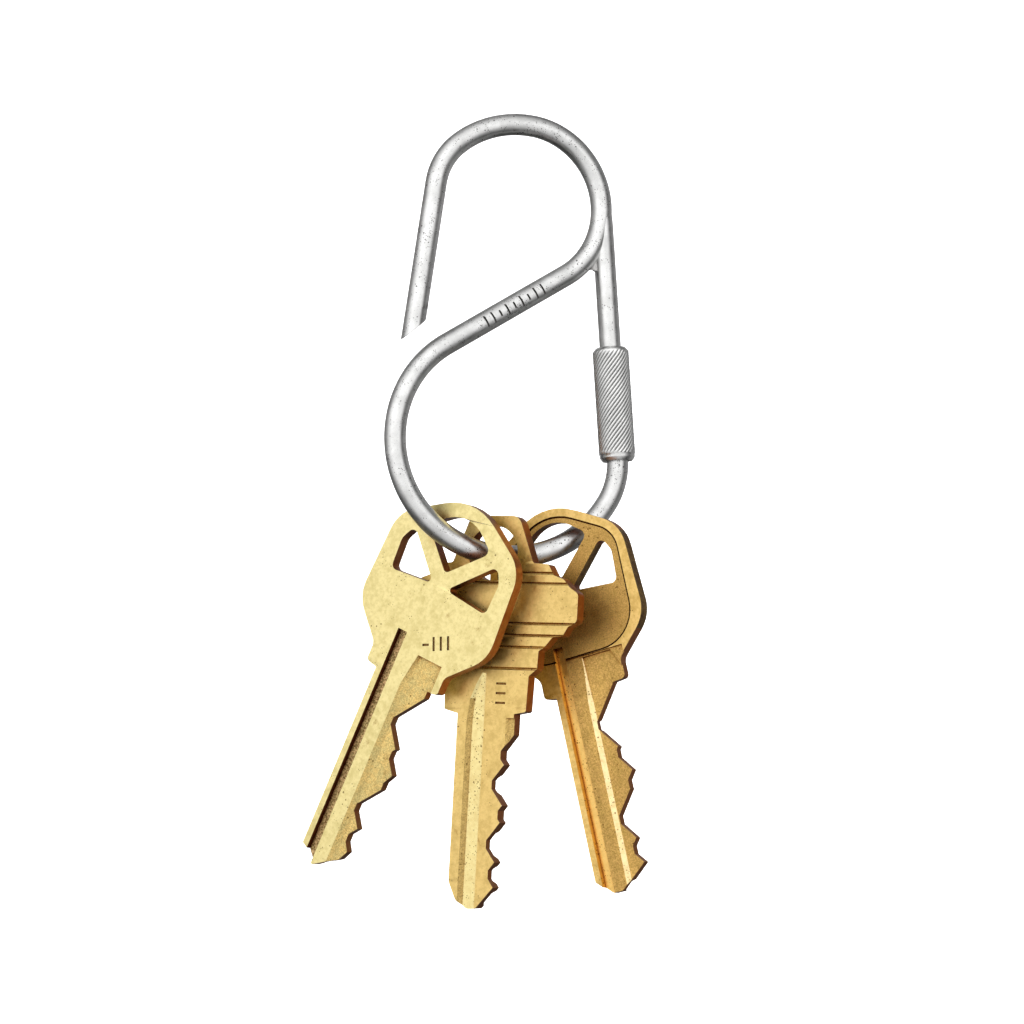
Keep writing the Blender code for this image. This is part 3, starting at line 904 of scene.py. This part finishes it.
# ---------------------------------------------------------------- sleeve
def knurl_cut(phase):
    """How deep the knurl is at a place across one ridge, from 0 to 1."""
    groove = abs(2 * phase - 1)
    return max(0.0, 1 - groove / KNURL_CUT_SHARE) ** KNURL_CUT_CURVE


def level_ring(radius, height, sides, turn=0.0):
    """Points round an upright axis, turned by turn sides. radius may be a function of the side."""
    ring = []
    for side in range(sides):
        angle = FULL_TURN * (side + turn) / sides
        reach = radius(side) if callable(radius) else radius
        ring.append(Vector((reach * math.cos(angle), reach * math.sin(angle), height)))
    return ring


def knurled_ring(radius, height, fade):
    """A section of the sleeve's shell, its knurl cut as deep as fade says."""

    def reach(side):
        phase = (side % KNURL_SAMPLES) / KNURL_SAMPLES
        return radius - KNURL_DEPTH * knurl_cut(phase) * fade

    turn = KNURL_TWIST * height / SLEEVE_LENGTH
    return level_ring(reach, height, KNURL_STARTS * KNURL_SAMPLES, turn)


def shell_piece(material):
    """The sleeve's shell: a slanted knurl between a chamfered top and a plain lower band."""
    profile = [(radius, SLEEVE_LENGTH - drop, 0) for radius, drop in SHELL_TOP_EDGE]
    profile.append((SHELL_RADIUS - 0.03, SLEEVE_LENGTH - 0.52, 0.05))
    for row in range(KNURL_ROWS + 1):
        height = KNURL_TOP + (KNURL_BOTTOM - KNURL_TOP) * row / KNURL_ROWS
        fade = min(1.0, (KNURL_TOP - height) / 0.25 + 0.3, (height - KNURL_BOTTOM) / 0.2 + 0.1)
        profile.append((SHELL_RADIUS, height, fade))
    profile += [(radius, height, 0) for radius, height in SHELL_BOTTOM_EDGE]
    bore = [(CORE_POCKET, 0), (CORE_POCKET, POCKET_DEPTH), (SHELL_BORE, POCKET_DEPTH)]
    bore.append((SHELL_BORE, SLEEVE_LENGTH - SHELL_MOUTH))
    bore.append((SHELL_BORE + SHELL_MOUTH, SLEEVE_LENGTH))
    sides = KNURL_STARTS * KNURL_SAMPLES
    rings = [knurled_ring(*station) for station in profile]
    rings += [level_ring(radius, height, sides) for radius, height in bore]
    shape = skin(rings, closed_ends=False, twist=KNURL_TWIST)
    obj = mesh_object("sleeve_shell_knurled", shape, material)
    place = metres(on_gate_line(SLEEVE_BOTTOM)) @ GATE_TURN
    put(obj, "sleeve_turn_body", "knurled_sleeve", place, smooth=50)


def core_piece(material):
    """The bushing inside the sleeve, with its internal thread."""
    sides = WIRE_SIDES
    top = CORE_RECESS + CORE_LENGTH
    rings = [level_ring(CORE_RADIUS, top, sides), level_ring(CORE_RADIUS, CORE_RECESS, sides)]
    rings.append(level_ring(CORE_BORE + CORE_MOUTH, CORE_RECESS, sides))
    step = THREAD_PITCH / CORE_THREAD_RINGS
    for number in range(int((CORE_LENGTH - 2 * CORE_LAND) / step) + 1):
        height = CORE_RECESS + CORE_LAND + number * step

        def reach(side):
            phase = (height / THREAD_PITCH + side / sides) % 1
            return CORE_BORE + CORE_THREAD_DEPTH * abs(2 * phase - 1)

        rings.append(level_ring(reach, height, sides))
    rings.append(level_ring(CORE_BORE + CORE_THREAD_DEPTH, top, sides))
    obj = mesh_object("sleeve_core_threaded", skin(rings, closed_ends=False), material)
    place = metres(on_gate_line(SLEEVE_BOTTOM)) @ GATE_TURN
    put(obj, "sleeve_travel_body", "sleeve_threaded_core", place)


# ---------------------------------------------------------------- keys
def rounded(corners):
    """Outline points from (across, down, radius) corners."""
    outline = []
    count = len(corners)
    for index, (across, down, radius) in enumerate(corners):
        here = Vector((across, down))
        if radius == 0:
            outline.append(here)
            continue
        back = (Vector(corners[index - 1][:2]) - here).normalized()
        ahead = (Vector(corners[(index + 1) % count][:2]) - here).normalized()
        half = back.angle(ahead) / 2
        reach = radius / math.tan(half)
        centre = here + (back + ahead).normalized() * radius / math.sin(half)
        start = here + back * reach - centre
        sweep = start.angle_signed(here + ahead * reach - centre)
        steps = max(1, math.ceil(abs(sweep) / CORNER_STEP))
        for step in range(steps + 1):
            turned = start.copy()
            turned.rotate(Matrix.Rotation(-sweep * step / steps, 2))
            outline.append(centre + turned)
    return outline


def mirrored(half, axis=0.0):
    """The right and the left corners of an outline, from the corners of its right half."""
    right = [(axis + across, down, radius) for across, down, radius in half]
    left = [(axis - across, down, radius) for across, down, radius in reversed(half) if across]
    return right, left


def bitting(first, pitch, roots, edge):
    """The cuts along a blade's upper edge, from the shoulder to the last root."""
    half_flat = CUT_FLAT / 2
    outline = [(edge, first - half_flat - (edge - roots[0]) / CUT_SLOPE, 0)]
    for index, root in enumerate(roots):
        centre = first + index * pitch
        outline.append((root, centre - half_flat, 0))
        outline.append((root, centre + half_flat, 0))
        if index + 1 == len(roots):
            break
        room = pitch - CUT_FLAT
        climb = (room + (roots[index + 1] - root) / CUT_SLOPE) / 2
        if 0 < climb < room:
            peak = min(root + climb * CUT_SLOPE, edge)
            outline.append((peak, centre + half_flat + (peak - root) / CUT_SLOPE, 0))
    return outline


def key_loops(key):
    """The closed outlines of a key: its rim first, then its holes."""
    if key["style"] == "clover":
        right, left = mirrored(CLOVER_HALF)
        shoulder, blade = CLOVER_SHOULDER, CLOVER_BLADE
        kite_right, kite_left = mirrored(KITE_HALF)
        side_right, side_left = mirrored(SIDE_HOLE)
        holes = [rounded(kite_right + kite_left), rounded(side_right), rounded(side_left)]
    else:
        right, left = mirrored(STEPPED_HALF, STEPPED_AXIS)
        shoulder, blade = STEPPED_SHOULDER, STEPPED_BLADE
        across, down, radius = ROUND_HOLE
        hole = []
        for side in range(ROUND_HOLE_SIDES):
            angle = FULL_TURN * side / ROUND_HOLE_SIDES
            point = (across + radius * math.cos(angle), down + radius * math.sin(angle))
            hole.append(Vector(point))
        holes = [hole]
    cuts = bitting(key["first_cut"], key["pitch"], key["roots"], blade[1])
    edge_start = [(blade[1], shoulder + CUT_EDGE_START, 0)]
    edge_end = [(blade[0], shoulder + BACK_EDGE_START, 0)]
    corners = right + edge_start + cuts + list(key["tip"]) + edge_end + left
    return [rounded(corners)] + holes


def plate(name, loops, thickness, grip, rim=0.0):
    """A flat plate from closed outlines, centred on grip, its rims rounded by rim."""
    curve = bpy.data.curves.new(name, "CURVE")
    curve.dimensions = "2D"
    curve.fill_mode = "BOTH"
    curve.extrude = thickness / 2
    for loop in loops:
        spline = curve.splines.new("POLY")
        spline.points.add(len(loop) - 1)
        spline.use_cyclic_u = True
        for spline_point, (across, down) in zip(spline.points, loop):
            spline_point.co = (across - grip[0], grip[1] - down, 0, 1)
    carrier = bpy.data.objects.new(name + "_curve", curve)
    bpy.context.scene.collection.objects.link(carrier)
    bpy.context.view_layer.update()
    evaluated = carrier.evaluated_get(bpy.context.evaluated_depsgraph_get())
    mesh = bpy.data.meshes.new_from_object(evaluated)
    bpy.data.objects.remove(carrier, do_unlink=True)
    shape = bmesh.new()
    shape.from_mesh(mesh)
    bmesh.ops.remove_doubles(shape, verts=shape.verts, dist=0.001)
    bmesh.ops.recalc_face_normals(shape, faces=shape.faces)
    shape.transform(Matrix.Rotation(math.pi / 2, 4, "X"))
    if rim:
        bmesh.ops.dissolve_limit(
            shape,
            angle_limit=math.radians(0.5),
            verts=shape.verts,
            edges=shape.edges,
            delimit={"NORMAL"},
        )
        shape.normal_update()
        rims = []
        for edge in shape.edges:
            facing = sorted(abs(face.normal.y) for face in edge.link_faces)
            if len(facing) == 2 and facing[0] < 0.2 and facing[1] > 0.9:
                rims.append(edge)
        bmesh.ops.bevel(
            shape,
            geom=rims,
            offset=rim,
            offset_type="OFFSET",
            segments=RIM_SEGMENTS,
            profile=0.5,
            affect="EDGES",
            clamp_overlap=True,
        )
    return mesh_object(name, shape)


def channel_cutter(name, stations, face, grip):
    """A lofted cutter along the blade, let into the front (-1) or the back (+1) face."""
    sections = []
    for down, corners in (*stations, (MILLING_END, stations[-1][1])):
        section = []
        for across, depth in ((corners[0][0], -CUTTER_OUT), *corners, (corners[-1][0], -CUTTER_OUT)):
            into = face * (KEY_THICKNESS / 2 - depth)
            section.append(Vector((across - grip[0], into, grip[1] - down)))
        sections.append(section)
    return mesh_object(name, loft(sections))


def ridge_cutter(name, down, grip):
    """A thin V cut straight across the bow, steeper on its upper side."""
    upper, lower = -RIDGE_WIDTH / 2, RIDGE_WIDTH * 0.75
    bottom = (-RIDGE_WIDTH * 0.2, RIDGE_DEPTH)
    corners = ((upper, 0), (upper, -RIDGE_OUT), (lower, -RIDGE_OUT), (lower, 0), bottom)
    ends = []
    for across in RIDGE_SPAN:
        end = []
        for drop, into in corners:
            end.append((across - grip[0], -KEY_THICKNESS / 2 + into, grip[1] - down - drop))
        ends.append(end)
    return mesh_object(name, loft(ends))


def field_cutter(name, halves, depth, grip):
    """A cutter inside the first closed outline, and outside the second where there is one."""
    loops = []
    for half in halves:
        right, left = mirrored(half)
        loops.append(rounded(right + left))
    cutter = plate(name, loops, PLATE_CUTTER, grip)
    into = -KEY_THICKNESS / 2 - PLATE_CUTTER / 2 + depth
    cutter.data.transform(Matrix.Translation((0, into, 0)))
    return cutter


def stamp_cutters(name, marks, grip):
    """Straight-sided cutters for the plain stamped marks."""
    cutters = []
    surface = -KEY_THICKNESS / 2 - CUTTER_OUT / 2
    for index, (across, down, length, width, turn) in enumerate(marks):
        centre = Vector((across - grip[0], surface + STAMP_DEPTH / 2, grip[1] - down))
        place = Matrix.Translation(centre) @ Matrix.Rotation(math.radians(turn), 4, "Y")
        shape = box(place, (width, CUTTER_OUT + STAMP_DEPTH, length))
        cutters.append(mesh_object(f"{name}_mark_{index}", shape))
    return cutters


def key_piece(key, looks):
    """A key with rounded rims, milled channels and its face details, in its own plane."""
    name, grip = key["name"], key["grip"]
    obj = plate(name + "_plate", key_loops(key), KEY_THICKNESS, grip, RIM_ROUNDING)
    cutters = []
    for side, face in (("front", -1), ("back", 1)):
        for number, stations in enumerate(CHANNELS[name][side]):
            cutters.append(channel_cutter(f"{name}_{side}_{number}", stations, face, grip))
    if name == "rear_key":
        line = (FIELD_HALF, FIELD_INNER_HALF)
        cutters.append(field_cutter("rear_field", (FIELD_HALF,), FIELD_DEPTH, grip))
        cutters.append(field_cutter("rear_field_line", line, FIELD_LINE_DEPTH, grip))
    if name == "middle_key":
        cutters += [ridge_cutter(f"ridge_{n}", down, grip) for n, down in enumerate(RIDGE_LINES)]
        cutters += stamp_cutters(name, MIDDLE_MARKS, grip)
    if name == "front_key":
        cutters += stamp_cutters(name, FRONT_MARKS, grip)
    subtract(obj, cutters)
    for look in LOOKS:
        obj.data.materials.append(looks[look])
    for polygon in obj.data.polygons:
        polygon.material_index = LOOKS.index(key_region(name, polygon, grip))
    put(obj, name + "_body", name, key_place(key), smooth=32)


def key_place(key):
    """Where a key hangs: its grip point on the wire's axis, swung and turned."""
    turn = Euler((0, key["fan"], -KEY_PLANE_TURN)).to_matrix().to_4x4()
    return metres(loop_point(key["wire_heading"])) @ turn


def key_region(name, polygon, grip):
    """The look of one face of a key, by where it is and which way it faces."""
    across, down = polygon.center.x + grip[0], grip[1] - polygon.center.z
    depth = KEY_THICKNESS / 2 - abs(polygon.center.y)
    facing = abs(polygon.normal.y)
    sunk = depth > SUNK
    milled = sunk and polygon.center.y < 0
    rear, middle = name == "rear_key", name == "middle_key"
    # The walls of the rear key's groove, which face across and not to the front.
    if rear and milled and down > 6.5 and -3.45 < across < -1.94 and depth < 0.85:
        return "groove"
    if facing > 0.96 and not sunk:
        return "face"
    if milled and facing > SLOPED:
        if -3.5 < across < -1.3 and down > 6 and (across < -1.85 or middle):
            return "groove"
        if not rear and facing > 0.95 and down < (15 if middle else 9):
            return "stamp"
        if rear and facing < 0.97 and down > 8.4:
            return "ridge"
    if rear and milled and down < 8.5 and depth > 0.25:
        return "stamp"
    if facing > 0.85 or (milled and facing > SLOPED and depth < 0.8 and down > 9.5):
        return "recess"
    return "rim" if facing > 0.2 else "edge"


# ---------------------------------------------------------------- stage, light and camera
# Sizes and places in metres, directions as azimuth and elevation in degrees.
FLOOR_RADIUS = 0.7
FLOOR_BEND = 0.35
FLOOR_BEND_STEPS = 12
FLOOR_SIDES = 72
FLOOR_GAP = 0.03
WALL_TOP = 1.7
PAPER_GLOW = 0.62

TARGET = Vector((-0.001676, 0, -0.052541))
CAMERA_LENS = 108.5
CAMERA_PLACE = (-20, -7, 0.42)

# Softboxes: name, azimuth, elevation, distance, size, radiance.
SOFTBOXES = (
    ("key_softbox", -76, 9, 0.62, (0.55, 0.7), 0.55),
    ("top_softbox", -14, 52, 0.6, (0.6, 0.45), 0.42),
    ("front_fill", 25, 8, 0.66, (0.3, 0.5), 0.35),
)

# Bright areas of the surroundings: azimuth, elevation, the cosines where one starts and where
# it is full, and its strength.
WORLD_LOBES = (
    (-80, 10, 0.35, 0.95, 0.38),
    (-20, 50, 0.30, 0.95, 0.52),
    (-12, -9, 0.30, 0.95, 0.84),
    (105, 4, 0.66, 0.98, 0.28),
    (168, 16, 0.58, 0.98, 0.46),
)
WORLD_BASE = 0.035


def direction(azimuth, elevation):
    """A unit vector towards the given direction; azimuth 0 is the front, -Y."""
    a, e = math.radians(azimuth), math.radians(elevation)
    return Vector((math.sin(a) * math.cos(e), -math.cos(a) * math.cos(e), math.sin(e)))


def build_stage():
    """A pale floor that curves up into a wall all round, under and behind the object."""
    profile = [(FLOOR_RADIUS / 2, 0.0), (FLOOR_RADIUS, 0.0)]
    for step in range(1, FLOOR_BEND_STEPS + 1):
        angle = math.pi / 2 * step / FLOOR_BEND_STEPS
        radius = FLOOR_RADIUS + FLOOR_BEND * math.sin(angle)
        profile.append((radius, FLOOR_BEND * (1 - math.cos(angle))))
    profile.append((FLOOR_RADIUS + FLOOR_BEND, WALL_TOP))
    shape = bmesh.new()
    rows = []
    for radius, height in profile:
        ring = level_ring(radius, height, FLOOR_SIDES)
        rows.append([shape.verts.new(point) for point in ring])
    shape.faces.new(rows[0])
    join_rows(shape, rows)
    floor = mesh_object("studio_floor", shape, floor_material())
    floor.location.z = CAD_BOX[0].z - FLOOR_GAP
    floor.data.shade_smooth()
    floor.visible_glossy = False
    floor.visible_shadow = False


def floor_material():
    """Matt white paper that glows a little, so that the background comes out white."""
    metal = Metal("studio_paper")
    colour = metal.mix(metal.pattern("paper"), (0.86, 0.86, 0.86, 1), (0.89, 0.89, 0.89, 1))
    surface = metal.surface
    surface.inputs["Emission Color"].default_value = (1, 1, 1, 1)
    surface.inputs["Emission Strength"].default_value = PAPER_GLOW
    surface.inputs["Specular IOR Level"].default_value = 0.1
    return metal.finish(colour, 0.9, metal.bump(metal.noise(0.8, 2.0), 0.02), metallic=0.0)


def area_light(name, azimuth, elevation, distance, size, radiance):
    """A softbox that faces the object from the given direction and distance."""
    data = bpy.data.lights.new(name, "AREA")
    data.shape = "RECTANGLE"
    data.size, data.size_y = size
    data.energy = radiance * math.pi * size[0] * size[1]
    light = bpy.data.objects.new(name, data)
    light.visible_camera = False
    aim(light, azimuth, elevation, distance)


def aim(obj, azimuth, elevation, distance):
    """Put a light or the camera round the target and turn it to face the target."""
    away = direction(azimuth, elevation)
    obj.location = TARGET + distance * away
    obj.rotation_mode = "QUATERNION"
    obj.rotation_quaternion = away.to_track_quat("Z", "Y")
    bpy.context.scene.collection.objects.link(obj)


def build_world():
    """Dim studio surroundings with soft bright areas."""
    world = bpy.data.worlds.new("studio")
    bpy.context.scene.world = world
    world.use_nodes = True
    tree = world.node_tree
    background = tree.nodes["Background"]
    towards = add_node(tree, "TexCoord", {}).outputs["Generated"]
    total = WORLD_BASE
    for azimuth, elevation, start, full, strength in WORLD_LOBES:
        inputs = {0: towards, 1: direction(azimuth, elevation)}
        dot = add_node(tree, "VectorMath", inputs, operation="DOT_PRODUCT").outputs["Value"]
        inputs = {"Value": dot, "From Min": start, "From Max": full, "To Max": strength}
        lobe = add_node(tree, "MapRange", inputs, interpolation_type="SMOOTHSTEP")
        total = add_node(tree, "Math", {0: lobe.outputs["Result"], 1: total}).outputs[0]
    tree.links.new(total, background.inputs["Color"])
    background.inputs["Strength"].default_value = 1.0


def build_camera():
    """A long lens that frames the object from the photo's direction."""
    data = bpy.data.cameras.new("camera")
    data.lens = CAMERA_LENS
    data.sensor_width = 36
    data.clip_start, data.clip_end = 0.01, 10
    camera = bpy.data.objects.new("camera", data)
    aim(camera, *CAMERA_PLACE)
    bpy.context.scene.camera = camera


def main():
    steels = {name: steel(name) for name in STEELS}
    wire_piece(steels["wire_steel_tumbled"], steels["engraved_marks_dark"])
    post_piece(steels["post_steel_tumbled"])
    weld_piece(steels["weld_steel_pitted"])
    shell_piece(steels["sleeve_steel_turned"])
    core_piece(steels["core_steel_threaded"])
    for key in KEYS:
        key_piece(key, key_looks(key))
    build_camera()
    build_stage()
    build_world()
    for softbox in SOFTBOXES:
        area_light(*softbox)
    bpy.context.scene.view_settings.view_transform = "Standard"


main()
